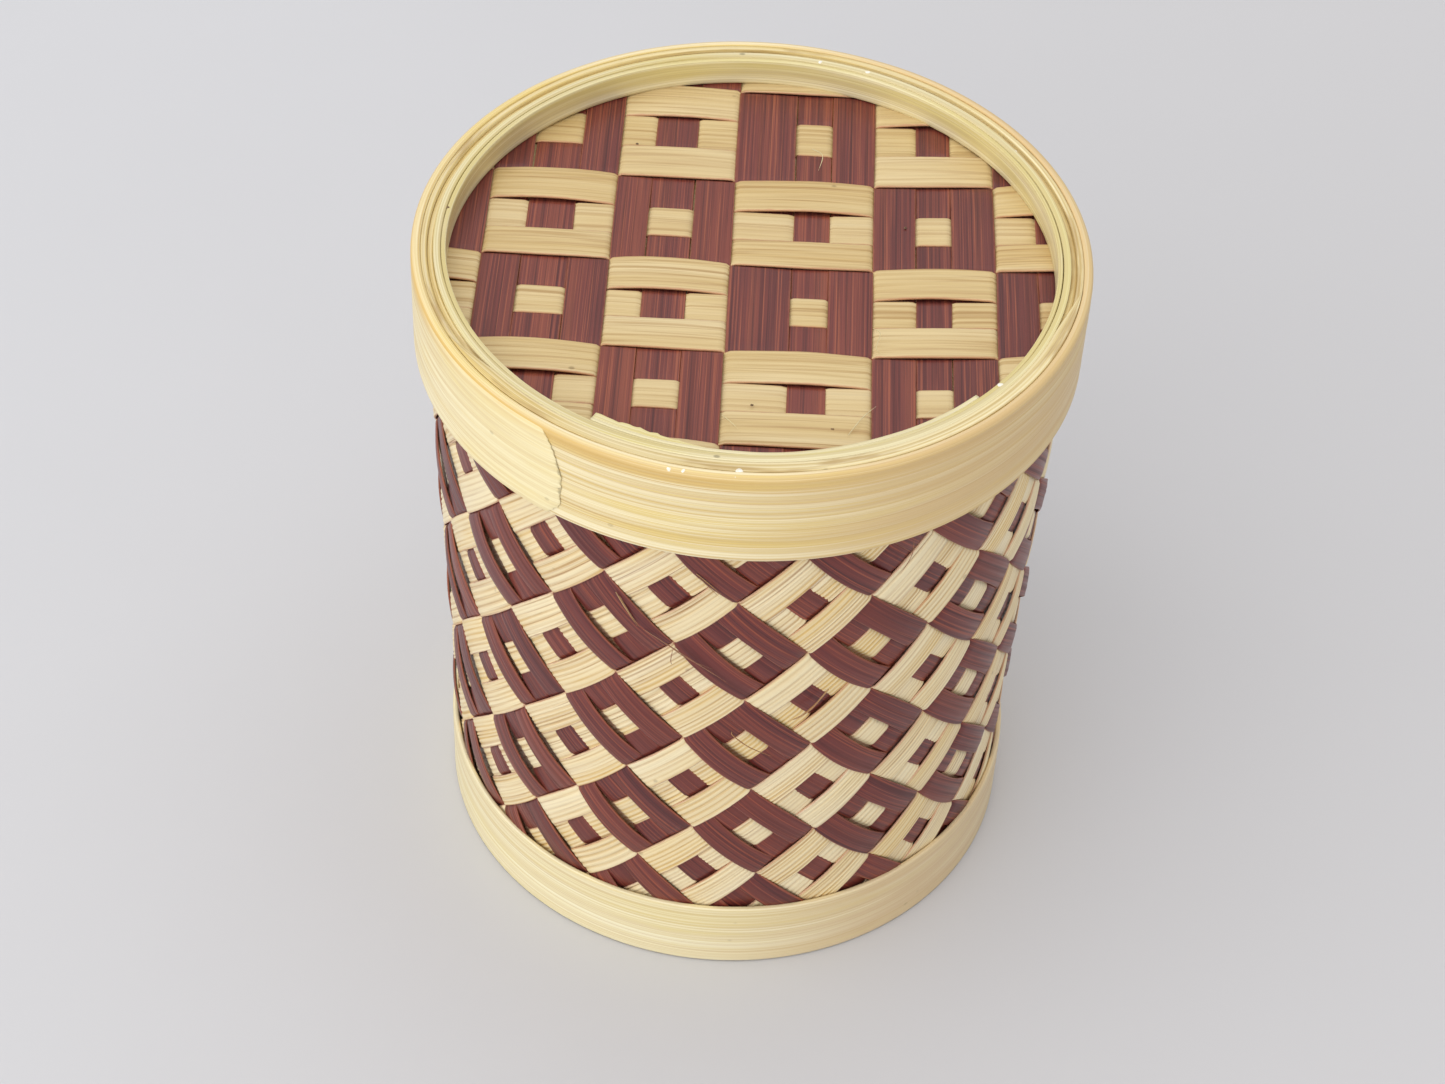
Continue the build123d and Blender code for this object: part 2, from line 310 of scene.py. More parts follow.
    # Tint of the strip edges, partly dye and partly painted shade: edge values over 1 mark where a
    # body strip dives under a crossing strip, and the colour there stands in for shade.
    if edge_dye_and_dive_shade is not None:
        ragged = n.noise(n.scaled(fibre, (0.5, 0.3, 4.4)), 1.0, 2.0, 0.6)
        near = n.span(n.math("ADD", n.attribute("edge", "Fac"),
                             n.math("MULTIPLY", ragged, 0.12)), 0.97, 1.06)
        base = n.mix(n.math("MULTIPLY", near, 0.55), base, edge_dye_and_dive_shade)
    if spots:
        cells = n.new("ShaderNodeTexVoronoi", feature="F1")
        n.put(cells.inputs["Vector"], n.scaled(fibre, (0.11, 0.16, 6.1)))
        cells.inputs["Scale"].default_value = 1.0
        fleck = n.span(cells.outputs["Distance"], 0.075, 0.03)
        base = n.mix(n.math("MULTIPLY", fleck, spots), base, tuple(c * 0.35 for c in line))
    n.put(shader.inputs["Base Color"], base)
    n.put(shader.inputs["Roughness"], n.span(fine, 0.3, 0.75, roughness - 0.08, roughness + 0.12))
    shader.inputs["Specular IOR Level"].default_value = 0.45
    height = n.math("ADD", n.math("MULTIPLY", fine, -0.7), n.math("MULTIPLY", hair, -0.4))
    n.put(shader.inputs["Normal"], n.bump(height, 0.55, 0.00012))
    return mat


def round_fibre(radius, upright=False):
    """For carried-over CAD rings: fibre places worked out from the angle round the axis."""
    def coordinates(n):
        place = n.new("ShaderNodeTexCoord").outputs["Object"]
        parts = n.new("ShaderNodeSeparateXYZ")
        n.put(parts.inputs[0], place)
        x, y, z = parts.outputs
        turn = n.math("MULTIPLY", n.math("ARCTAN2", y, x), radius)
        tall = n.math("MULTIPLY", z, 1000.0)
        out = n.math("MULTIPLY", n.math("POWER", n.math("ADD", n.math("MULTIPLY", x, x),
                                                        n.math("MULTIPLY", y, y)), 0.5), 1000.0)
        joined = n.new("ShaderNodeCombineXYZ")
        first, second = (tall, turn) if upright else (turn, tall)
        n.put(joined.inputs[0], first)
        n.put(joined.inputs[1], second if upright else n.math("ADD", second, out))
        n.put(joined.inputs[2], 0.37)
        return joined.outputs[0]
    return coordinates


def flat_fibre(n):
    """For carried-over CAD discs: fibres lie along X."""
    return n.scaled(n.new("ShaderNodeTexCoord").outputs["Object"], (1000.0, 1000.0, 0.0))


def outward(n):
    """1 on faces that look away from the axis, which lie in the dark behind the weave; they are
    painted near-black as shade.
    """
    flat = n.new("ShaderNodeVectorMath", operation="MULTIPLY")
    n.put(flat.inputs[0], n.new("ShaderNodeTexCoord").outputs["Object"])
    flat.inputs[1].default_value = (1.0, 1.0, 0.0)
    dot = n.new("ShaderNodeVectorMath", operation="DOT_PRODUCT")
    n.put(dot.inputs[0], flat.outputs[0])
    n.put(dot.inputs[1], n.new("ShaderNodeTexCoord").outputs["Normal"])
    return n.math("GREATER_THAN", dot.outputs["Value"], 0.01)


PALE = dict(light=(0.83, 0.70, 0.40), mid=(0.76, 0.60, 0.30), line=(0.60, 0.38, 0.13),
            streak=(0.90, 0.81, 0.56))
STRAW = dict(light=(0.64, 0.48, 0.225), mid=(0.56, 0.385, 0.15), line=(0.36, 0.19, 0.055),
             streak=(0.72, 0.58, 0.33))
BLEACHED = dict(light=(0.76, 0.58, 0.31), mid=(0.68, 0.46, 0.18), line=(0.34, 0.15, 0.05),
                streak=(0.86, 0.74, 0.50))
DARK = dict(light=(0.180, 0.036, 0.026), mid=(0.125, 0.024, 0.020), line=(0.048, 0.011, 0.012),
            streak=(0.27, 0.068, 0.034))

# The band and foot materials paint a darker shade, in patches, over their +X side, away from the key
# light.
band_mat = bamboo("band_bamboo", across=2.4, warm=(0.80, 0.60, 0.17), spots=0.25, along=0.005,
                  line_amount=0.8, bands=0.9, crest=16.6, painted_side_shade=(0.68, 0.47, 0.22),
                  fresh=(0.93, 0.82, 0.48), **PALE)
foot_mat = bamboo("foot_bamboo", across=2.2, warm=(0.80, 0.66, 0.29), spots=0.25, along=0.005,
                  line_amount=0.6, bands=0.8, painted_side_shade=(0.68, 0.49, 0.27), light=(0.83, 0.73, 0.46),
                  mid=(0.77, 0.64, 0.35), line=(0.62, 0.44, 0.18), streak=(0.90, 0.84, 0.62))
hoop_mat = bamboo("hoop_bamboo", across=2.0, warm=(0.70, 0.58, 0.19), spots=0.6, along=0.010,
                  line_amount=0.55, bands=0.7, light=(0.76, 0.66, 0.37), mid=(0.66, 0.53, 0.26),
                  line=(0.48, 0.36, 0.16), streak=(0.86, 0.80, 0.57))
core_mat = bamboo("core_bamboo", across=2.6, spots=0.5, along=0.02, line_amount=0.6,
                  warm=(0.70, 0.50, 0.14), bands=0.7, stain=(0.44, 0.28, 0.10),
                  light=(0.75, 0.62, 0.32), mid=(0.66, 0.49, 0.20), line=(0.47, 0.31, 0.10),
                  streak=(0.85, 0.76, 0.50))
panel_light_mat = bamboo("panel_light_bamboo", across=1.35, edge_dye_and_dive_shade=(0.50, 0.17, 0.10), spots=0.5,
                         relief=0.25, line_amount=0.7,
                         shades=((0.58, 0.42, 0.17), (0.70, 0.55, 0.30)), **STRAW)
# body_light_mat's edge colour is dye along the strip edges and painted reddish-brown shade where its
# strips dive under the dark ones.
body_light_mat = bamboo("body_light_bamboo", across=2.4, edge_dye_and_dive_shade=(0.46, 0.15, 0.10), spots=0.3,
                        relief=0.95, warm=(0.72, 0.45, 0.10), line_amount=0.60,
                        shades=((0.68, 0.46, 0.16), (0.84, 0.72, 0.48)), **BLEACHED)
dark_mat = bamboo("dark_bamboo", across=1.5, roughness=0.40, spots=0.0, line_amount=0.5,
                  along=0.010, edge_dye_and_dive_shade=(0.36, 0.12, 0.06), threads=(0.36, 0.10, 0.048),
                  shades=((0.075, 0.020, 0.022), (0.23, 0.052, 0.030)), **DARK)
fibre_mat = bamboo("fibre_bamboo", across=1.5, spots=0.0, light=(0.36, 0.17, 0.09),
                   mid=(0.28, 0.11, 0.06), line=(0.16, 0.06, 0.03), streak=(0.52, 0.30, 0.17))
body_dark_mat = bamboo("body_dark_bamboo", across=1.05, roughness=0.38, spots=0.0,
                       line_amount=0.5, along=0.008, edge_dye_and_dive_shade=(0.36, 0.12, 0.06),
                       threads=(0.34, 0.080, 0.038), light=(0.150, 0.028, 0.024),
                       mid=(0.105, 0.019, 0.019), line=(0.040, 0.009, 0.012),
                       streak=(0.235, 0.054, 0.032),
                       shades=((0.060, 0.016, 0.021), (0.21, 0.044, 0.028)))
# The liner's faces that look out, into the dark behind the weave, are painted near-black as shade.
liner_mat = bamboo("liner_bamboo", across=1.1, spots=0.3, cylinder=round_fibre(50.0, True),
                   behind_weave_shade=outward,
                   light=(0.66, 0.50, 0.28), mid=(0.56, 0.40, 0.21), line=(0.40, 0.25, 0.11),
                   streak=(0.74, 0.60, 0.37))
ring_mat = bamboo("ring_bamboo", across=1.6, spots=0.3, cylinder=round_fibre(50.0),
                  light=(0.70, 0.54, 0.31), mid=(0.58, 0.42, 0.22), line=(0.42, 0.27, 0.12),
                  streak=(0.78, 0.66, 0.42))
disc_mat = bamboo("disc_bamboo", across=1.2, spots=0.3, cylinder=flat_fibre,
                  light=(0.66, 0.50, 0.28), mid=(0.56, 0.40, 0.21), line=(0.40, 0.25, 0.11),
                  streak=(0.74, 0.60, 0.37))


# ------------------------------------------------------------------ strips
def section(tops, thick, crown):
    """Points round a strip's section: t across (-1 to 1), height, and 1 on top and 0 below."""
    t = np.linspace(-0.965, 0.965, tops)
    top = np.stack([t, thick / 2 - crown * t * t, np.ones(tops)], -1)
    side = np.array([[1.0, thick / 2 - crown - 0.07, 0.6], [1.0, -thick / 2 - crown + 0.05, 0.0]])
    under = np.array([[0.9, -thick / 2 - crown * 0.8, 0], [0, -thick / 2, 0],
                      [-0.9, -thick / 2 - crown * 0.8, 0]])
    other = side[::-1] * np.array([-1, 1, 1])
    return np.concatenate([top, side, under, other])


def stations(first, last, inner=(-0.17, -0.085, 0.0, 0.085, 0.17, 0.28, 0.5, 0.72)):
    """Places along a strip, counted in crossings: crossing k lies from k-0.5 to k+0.5."""
    whole = np.arange(math.floor(first) - 1, math.ceil(last) + 2)
    places = (whole[:, None] - 0.5 + np.array(inner)[None, :]).ravel()
    places = places[(places > first + 0.03) & (places < last - 0.03)]
    return np.concatenate([[first], places, [last]])


def dark_above(i, j):
    return ((i // 3 + j // 3) % 2 == 0) != ((i % 3 == 1) & (j % 3 == 1))


def path(places, above, lift, ramp, bulge, bow, own, seed):
    """Height and sideways shift along a strip. above(k) is True where it passes over crossing k."""
    k0, k1 = int(math.floor(places[0])) - 4, int(math.ceil(places[-1])) + 5
    ks = np.arange(k0, k1)
    up = np.array([bool(above(int(k))) for k in ks])
    side = np.zeros(len(places))
    r = np.random.default_rng(seed)
    sign = np.where(up, 1.0, -1.0)
    at = np.clip(np.floor(places + 0.5).astype(int) - k0, 1, len(ks) - 2)
    level = sign[at]
    into = places - (ks[at] - 0.5)
    out = (ks[at] + 0.5) - places
    ease = lambda x: 0.5 + 0.5 * np.sin(np.pi / 2 * np.clip(x / ramp, -1, 1))
    before, after = sign[at - 1], sign[at + 1]
    height = np.where(into < out, before + (level - before) * ease(into),
                      after + (level - after) * ease(out)) * lift
    start = 0
    while start < len(ks):
        stop = start
        while stop + 1 < len(ks) and up[stop + 1] == up[start]:
            stop += 1
        length = stop - start + 1
        if up[start]:
            a, b = ks[start] - 0.5, ks[stop] + 0.5
            inside = (places > a) & (places < b)
            u = (places[inside] - a) / length
            arch = np.sin(np.pi * u) ** 0.8
            amount = bulge * (1 if length > 1 else 0.08) * r.uniform(0.7, 1.25)
            height[inside] += amount * arch
            way = (own % 3) - 1
            if length > 1:
                side[inside] += way * bow * r.uniform(0.6, 1.3) * np.sin(np.pi * u)
        start = stop + 1
    return height, side


# Body lattice: i counts dark strips, j counts light strips
BODY_R0, BODY_R1, SHOULDER_Z = 48.4, 51.4, 90.0
KEY_ANGLE, KEY_Z = math.radians(-101.27), 93.42
KEY_I, KEY_J = 4, 1
ROW_DROP, ROW_SHIFT = 23.18, math.radians(2.283)
CROSS = ((2 * math.pi - 14 * ROW_SHIFT) / 90, 14 * ROW_DROP / 90)
FALL = (CROSS[0] + ROW_SHIFT / 3, CROSS[1] - ROW_DROP / 3)
DARK_COUNT, LIGHT_COUNT = 48, 42
PITCH = 4.97
WEAVE_TOP, WEAVE_FOOT = 112.0, 3.0
STRIP_CUT_Z = 112.4  # the strips' slanting ends are cut level here, under the neck's hoops


def body_surface(i, j, out):
    angle = KEY_ANGLE + (i - KEY_I) * CROSS[0] + (j - KEY_J) * FALL[0]
    z = KEY_Z + (i - KEY_I) * CROSS[1] + (j - KEY_J) * FALL[1]
    lean = np.clip(z / SHOULDER_Z, None, 1.06)
    r = BODY_R0 + (BODY_R1 - BODY_R0) * (lean - 0.5 * np.clip(lean - 0.94, 0, None)) + out
    return np.stack([r * np.cos(angle), r * np.sin(angle), z], -1)


def body_strip(build, dark, own):
    if dark:
        offset = KEY_Z + (own - KEY_I) * CROSS[1]
        first = KEY_J + (WEAVE_TOP - offset) / FALL[1]
        last = KEY_J + (WEAVE_FOOT - offset) / FALL[1]
        step = math.hypot(FALL[0] * BODY_R1, FALL[1])
        above = lambda k: dark_above(own, k)
        shape = section(17, 0.34, 0.14)
        wide, bulge, bow, ramp = (1.10 if own % 3 == 1 else 1.07), 0.75, 0.42, 0.15
    else:
        offset = KEY_Z + (own - KEY_J) * FALL[1]
        first = KEY_I + (WEAVE_FOOT - offset) / CROSS[1]
        last = KEY_I + (WEAVE_TOP - offset) / CROSS[1]
        step = math.hypot(CROSS[0] * BODY_R1, CROSS[1])
        above = lambda k: not dark_above(k, own)
        shape = section(27, 0.40, 0.03)
        wide, bulge, bow, ramp = 1.05, 0.34, 0.10, 0.15
    seed = 100 + own * 2 + dark
    places = stations(first, last, (-0.15, -0.06, 0.06, 0.15, 0.38, 0.62))
    lift_off = 0.27 if own % 3 == 1 else 0.42
    height, side = path(places, above, lift_off, ramp, bulge, bow, own, seed)
    along = (places - places[0]) * step
    jitter = smooth_noise(along, seed + 900, 17.0) * 0.10
    half = wide / 2 * (1 + 0.035 * smooth_noise(along, seed + 300, 23.0))
    twist = 0.035 * smooth_noise(along, seed + 500, 11.0)
    t, q, on_top = shape[:, 0], shape[:, 1], shape[:, 2]
    across = (side + jitter)[:, None] / PITCH + half[:, None] * t[None, :]
    mm = across * PITCH
    lift = height[:, None] + q[None, :] + twist[:, None] * mm * 1.2
    relief = np.ones_like(lift)
    if not dark:
        r = np.random.default_rng(seed)
        count = r.uniform(5.0, 7.5)
        uneven = 0.35 * smooth_noise(t * 2.2 + own * 7.7, seed + 51, 1.0)
        wave = (t + uneven / count * 2)[None, :] * count / 2 + r.uniform(0, 1)
        wave = wave + 0.25 * smooth_noise(along, seed + 50, 16.0)[:, None]
        relief = np.abs(np.cos(np.pi * wave)) ** 0.7
        spread = t[None, :] * 2.6 + own * 3.3 + 0.03 * along[:, None]
        strong = 0.5 + 0.5 * smooth_noise(spread, seed + 52, 1.0)
        varied = 0.8 + 0.4 * smooth_noise(along, seed + 70, 14.0)
        deep = 0.21 * varied[:, None] * (0.45 + strong)
        lift = lift + on_top[None, :] * deep * (relief - 0.75)
        # relief also sets where the material paints shade into the valleys and a highlight onto the
        # ridges.
        relief = 1 - (1 - relief) * (0.35 + 0.65 * strong)
    else:
        wave = smooth_noise((t[None, :] * 6.0 + own * 13.1) + 0.01 * along[:, None], seed + 60, 1.0)
        lift = lift + on_top[None, :] * 0.045 * wave
    if dark:
        co = body_surface(own + across, places[:, None], lift)
    else:
        co = body_surface(places[:, None], own + across, lift)
    co[..., 2] = np.minimum(co[..., 2], STRIP_CUT_Z)
    fibre = np.stack([np.broadcast_to(along[:, None], mm.shape), mm,
                      np.full(mm.shape, own * 1.713 + (0.4 if dark else 0.0))], -1)
    # Where the strip dives under a crossing strip the edge attribute goes over 1, so the edge colour
    # covers its whole width there: painted reddish-brown shade on the light strips, an orange tint
    # on the dark ones.
    dive_shade = np.clip(-height / lift_off, 0, 1)[:, None] * 0.22 + 1.0
    edge = np.broadcast_to(np.abs(t)[None, :], mm.shape)
    build.add(co, fibre, np.where(dive_shade > 1.03, dive_shade, edge), relief)


for phase, letter in enumerate("abc"):
    build = Builder()
    for own in range(phase, DARK_COUNT, 3):
        body_strip(build, True, own)
    build.piece(f"body_dark_weave_{letter}", BODY, body_dark_mat,
                [f"body_dark_strips_{letter}"])
    build = Builder()
    for own in range(phase, LIGHT_COUNT, 3):
        body_strip(build, False, own)
    build.piece(f"body_light_weave_{letter}", BODY, body_light_mat,
                [f"body_light_strips_{letter}"])

# Panel lattice: dark strips run front to back, light strips left to right
DARK_EDGES = np.cumsum([-50.4, 6.5, 6.4, 7.8, 6.6, 5.7, 7.2, 6.7, 10.0, 6.0, 7.2, 7.0, 5.8, 7.2,
                        6.8, 6.8])
LIGHT_EDGES = np.cumsum([-54.1, 7.0, 8.4, 8.3, 8.0, 8.0, 7.2, 6.6, 7.6, 6.6, 7.0, 7.4, 6.4, 7.5,
                         7.0])
PANEL_R, PANEL_Z = 50.8, 116.9
BOTTOM_R, BOTTOM_Z, BOTTOM_PITCH = 46.6, 5.4, 7.0


def panel_bend(x):
    return 0.04375 * (x - 18.0 + np.sqrt((x - 18.0) ** 2 + 64.0))


def edge_place(edges, k):
    """Where a boundary lies: strip k reaches from k-0.5 to k+0.5, and the first strip is 2."""
    index = k - 1.5
    n = len(edges) - 1
    inside = np.interp(index, np.arange(n + 1), edges)
    return inside + np.minimum(index, 0) * 7.0 + np.maximum(index - n, 0) * 7.0


def flat_strip(build, dark, own, own_edges, cross_edges, radius, level, askew, side_up, seed,
               looks):
    """One strip of a round flat weave, its ends cut to the circle."""
    low, high = edge_place(own_edges, own - 0.5), edge_place(own_edges, own + 0.5)
    middle = (low + high) / 2
    near = min(abs(low), abs(high)) if low * high > 0 else 0.0
    if near > radius - 0.4:
        return
    reach = math.sqrt(radius ** 2 - near ** 2) + 0.5
    grid = np.arange(-3, 24, 1.0)
    spots = edge_place(cross_edges, grid)
    first, last = np.interp([-reach - 3.0, reach + 1.0], spots, grid)
    above = (lambda k: dark_above(own, k)) if dark else (lambda k: not dark_above(k, own))
    if side_up < 0:
        over = above
        above = lambda k: not over(k)
    places = stations(max(first, -2.4), min(last, 20.4))
    lift_off = 0.24 if own % 3 == 1 else 0.40
    height, side = path(places, above, lift_off, 0.12, looks["bulge"], looks["bow"], own, seed)
    along = edge_place(cross_edges, places)
    half = (high - low) / 2 * looks["wide"] * (1 + 0.02 * smooth_noise(along, seed + 300, 19.0))
    shape = section(looks["tops"], 0.36, looks["crown"])
    t, q, on_top = shape[:, 0], shape[:, 1], shape[:, 2]
    jitter = 0.10 * smooth_noise(along, seed + 10, 25.0)
    across = middle + (side + jitter)[:, None] + half[:, None] * t[None, :]
    r = np.random.default_rng(seed)
    count = (high - low) * looks["ridges"]
    wave = t[None, :] * count / 2 + r.uniform(0, 1)
    wave = wave + 0.15 * smooth_noise(along, seed + 50, 13.0)[:, None]
    # relief also sets where the material paints shade into the valleys and a highlight onto the
    # ridges.
    relief = np.abs(np.cos(np.pi * wave)) ** 0.7
    lift = height[:, None] + q[None, :] + on_top[None, :] * looks["deep"] * (relief - 0.75)
    lift = lift + 0.02 * smooth_noise(along, seed + 70, 9.0)[:, None] * (across - middle)
    along2 = np.broadcast_to(along[:, None], across.shape)
    x, y = (across, -along2) if dark else (along2, -across)
    y = y + askew * panel_bend(x)
    # the ends follow the circle
    far = np.hypot(x, y)
    if dark:
        rim = np.sqrt(np.clip(radius ** 2 - x ** 2, 0.0, None))
        y = np.where(far > radius, np.sign(y) * rim, y)
    else:
        rim = np.sqrt(np.clip(radius ** 2 - y ** 2, 0.0, None))
        x = np.where(far > radius, np.sign(x) * rim, x)
    keep = (far <= radius).any(axis=1)
    first_in, last_in = np.argmax(keep), len(keep) - 1 - np.argmax(keep[::-1])
    first_in, last_in = max(first_in - 1, 0), min(last_in + 1, len(keep) - 1)
    window = slice(first_in, last_in + 1)
    co = np.stack([x, y, level + side_up * lift], -1)[window]
    number = own * 2.37 + (0.3 if dark else 0) + seed
    fibre = np.stack([along2, across - middle, np.full(across.shape, number)], -1)[window]
    build.add(co, fibre, np.abs(t)[None, :], relief[window])


PANEL_LIGHT = dict(bulge=0.40, bow=0.32, wide=1.0, tops=21, crown=0.05, ridges=0.75, deep=0.06)
PANEL_DARK = dict(bulge=0.14, bow=0.05, wide=0.995, tops=13, crown=0.03, ridges=0.9, deep=0.03)
for number in range(1, len(DARK_EDGES)):
    build = Builder()
    flat_strip(build, True, number + 1, DARK_EDGES, LIGHT_EDGES, PANEL_R, PANEL_Z, 1, 1,
               40 + number, PANEL_DARK)
    build.piece(f"panel_dark_{number:02d}", LID, dark_mat,
                [f"lid_panel_dark_strip_{number:02d}"])
for number in range(1, len(LIGHT_EDGES)):
    build = Builder()
    flat_strip(build, False, number + 1, LIGHT_EDGES, DARK_EDGES, PANEL_R, PANEL_Z, 1, 1,
               70 + number, PANEL_LIGHT)
    build.piece(f"panel_light_{number:02d}", LID, panel_light_mat,
                [f"lid_panel_light_strip_{number:02d}"])

BOTTOM_EDGES = (np.arange(14) - 6.5) * BOTTOM_PITCH
for dark, kind in ((True, "dark"), (False, "light")):
    build = Builder()
    for number in range(1, 14):
        looks = PANEL_DARK if dark else PANEL_LIGHT
        flat_strip(build, dark, number + 1, BOTTOM_EDGES, BOTTOM_EDGES, BOTTOM_R - 0.2, BOTTOM_Z,
                   0, -1, 200 + number + 40 * dark, looks)
    build.piece(f"bottom_{kind}_weave", BODY,
                dark_mat if dark else panel_light_mat, [f"bottom_{kind}_strips"])


# ------------------------------------------------------------------ hoops
LID_BAND = (53.35, 54.93)
FOOT_BAND = (49.85, 50.95)
CHAMFER = 0.25  # height of the bevel along a hoop's foot
BAND_STEP = 0.731  # sets the grain of one hoop apart from the next
HOOP_FOOT_Z = 114.0  # the core hoops stand on the lid's support hoop
RIM_FOOT_Z = 117.6  # the inner hoops stand on the panel


def folded(theta):
    """The angle from the far side of the ring, so that fibres meet again where the ring closes."""
    return np.abs(np.mod(theta, 2 * np.pi) - np.pi)


def hoop(build, r0, r1, z0, z1, seed, round_out=0.5, round_in=0.5, first=None, last=None,
         grooves=0.03, top_wave=0.15, taper=0.0, edge_wave=0.06, rows=26, blunt=False,
         torn=0.0):
    """A bent band between radii r0 and r1. With first and last (degrees) it is an open length:
    taper thins its ends over so many degrees, blunt leaves the first end square, and torn frays
    its inner edge."""
    closed = first is None
    if closed:
        count = 540
        theta = np.linspace(0, 2 * np.pi, count, endpoint=False)
    else:
        count = max(24, int(abs(last - first) * 1.5))
        theta = np.radians(np.linspace(first, last, count))
    arc = folded(theta) * (r0 + r1) / 2
    zs = np.linspace(0, 1, rows)
    corner = np.linspace(0, np.pi / 2, 6)
    tall, thick = z1 - z0, r1 - r0
    round_out, round_in = min(round_out, thick * 0.55), min(round_in, thick * 0.45)
    pts = []
    for s in zs:
        pts.append((r1, z0 + CHAMFER + (tall - CHAMFER - round_out) * s))
    for a in corner[1:]:
        pts.append((r1 - round_out * (1 - math.cos(a)), z1 - round_out * (1 - math.sin(a))))
    for a in corner[::-1][:-1]:
        pts.append((r0 + round_in * (1 - math.cos(a)), z1 - round_in * (1 - math.sin(a))))
    for s in np.linspace(1, 0, max(6, rows // 3)):
        pts.append((r0, z0 + CHAMFER + (tall - CHAMFER - round_in) * s))
    pts.append((r0 + 0.2, z0))
    pts.append((r1 - 0.2, z0))
    pts = np.array(pts)
    walk = np.concatenate([[0], np.cumsum(np.hypot(*np.diff(pts, axis=0).T))])
    r = np.broadcast_to(pts[:, 0], (count, len(pts))).copy()
    z = np.broadcast_to(pts[:, 1], (count, len(pts))).copy()
    ease = np.linspace(0, 1, count)
    # fine ridges run round the band and fade in and out
    rr = np.random.default_rng(seed)
    ridge = np.zeros_like(r)
    for n in range(7):
        pitch = rr.uniform(0.9, 3.2)
        drift = 0.5 * smooth_noise(arc, seed * 31 + n, 60.0)
        strength = 0.5 + 0.5 * smooth_noise(arc, seed * 57 + n, 35.0)
        phase = 2 * np.pi * (walk[None, :] / pitch) + rr.uniform(0, 6.28) + drift[:, None]
        ridge += strength[:, None] * np.sin(phase)
    ridge *= grooves / 3
    centre_r = (r0 + r1) / 2
    away = np.sign(pts[:, 0] - centre_r)
    r += ridge * away[None, :]
    r -= grooves * away[None, :]
    if closed:
        wave = wander(count, seed + 5)
        wave2 = wander(count, seed + 6, (7, 11, 19, 31, 47))
    else:
        wave = smooth_noise(arc, seed + 5, 14.0)
        wave2 = smooth_noise(arc, seed + 6, 4.0)
    high = np.clip((z - (z1 - 2.0)) / 2.0, 0, 1)
    z -= high * top_wave * (0.55 + 0.35 * wave[:, None] + 0.10 * wave2[:, None])
    r += edge_wave * wave[:, None] * high * 0.5
    if taper:
        to_end = 1 - ease if blunt else np.minimum(ease, 1 - ease)
        end = np.clip(to_end * count / 1.5 / taper, 0, 1)
        end = np.sin(end * np.pi / 2)
        r = r1 + (r - r1) * end[:, None]
    if torn:
        ragged = smooth_noise(arc, seed + 80, 0.9) + 0.6 * smooth_noise(arc, seed + 81, 2.6)
        r -= torn * ragged[:, None] * np.clip((r1 - r) / (r1 - r0), 0, 1)
    x, y = r * np.cos(theta)[:, None], r * np.sin(theta)[:, None]
    co = np.stack([x, y, z], -1)
    arcs = np.broadcast_to(arc[:, None], r.shape)
    walks = np.broadcast_to(walk[None, :], r.shape)
    fibre = np.stack([arcs, walks, np.full(r.shape, seed * BAND_STEP)], -1)
    relief = 0.5 + ridge / max(grooves, 1e-4)
    build.add(co, fibre, np.zeros((1, len(pts))), relief, closed=closed)


def lap_end(build, band, z0, z1, end_angle, fade_angle, seed, thick, low, like):
    """The outer end of a bent band: a rounded, torn end lying on the band below it, whose lower
    edge is at low and whose own seed is like."""
    radius, mean = band[1], sum(band) / 2
    count, rows = 90, 96
    u = np.linspace(0, 1, count) ** 1.35
    s = np.linspace(0, 1, rows)
    U, S = np.meshgrid(u, s, indexing="ij")
    # the end's outline leans back at the top and has a rounded, ragged corner at the foot
    ragged = smooth_noise(s * 60.0, seed, 1.3) * 0.20 + smooth_noise(s * 60.0, seed + 1, 5.0) * 0.28
    lean_top = 3.6 * np.clip((s - 0.45) / 0.55, 0, 1) ** 2.2
    lean_foot = 2.4 * np.clip((0.22 - s) / 0.22, 0, 1) ** 2.0
    lean = lean_top + lean_foot
    way = np.sign(fade_angle - end_angle)
    start = np.radians(end_angle) + way * (lean + ragged) / radius
    theta = start[None, :] + (np.radians(fade_angle) - start[None, :]) * U
    t = thick * (1 - U) ** 0.8
    tip = np.clip(U * 40, 0, 1) ** 0.5
    z = z0 + (z1 - z0) * S
    bow = np.sin(np.pi * np.clip(S, 0.0, 1)) ** 0.25
    over = np.clip(S - 0.955, 0, 1) / 0.045
    r_top = radius - 0.05 + t * (0.35 + 0.65 * tip) * bow - 0.30 * over ** 2
    r_low = np.full_like(r_top, radius - 0.25) - 0.30 * over ** 2
    outer = np.stack([r_top * np.cos(theta), r_top * np.sin(theta), z], -1)
    inner = np.stack([r_low * np.cos(theta), r_low * np.sin(theta), z], -1)
    co = np.concatenate([outer, inner[:, ::-1]], axis=1)
    # the fibres carry on from the band, and change little by little towards the end
    f = np.stack([folded(theta) * mean, z - low - CHAMFER, like * BAND_STEP + 0.35 * (1 - U)], -1)
    fibre = np.concatenate([f, f[:, ::-1]], axis=1)
    fresh = np.concatenate([1 - U, 1 - U], axis=1)
    build.add(co, fibre, fresh, np.full((1, 2 * rows), 0.5))


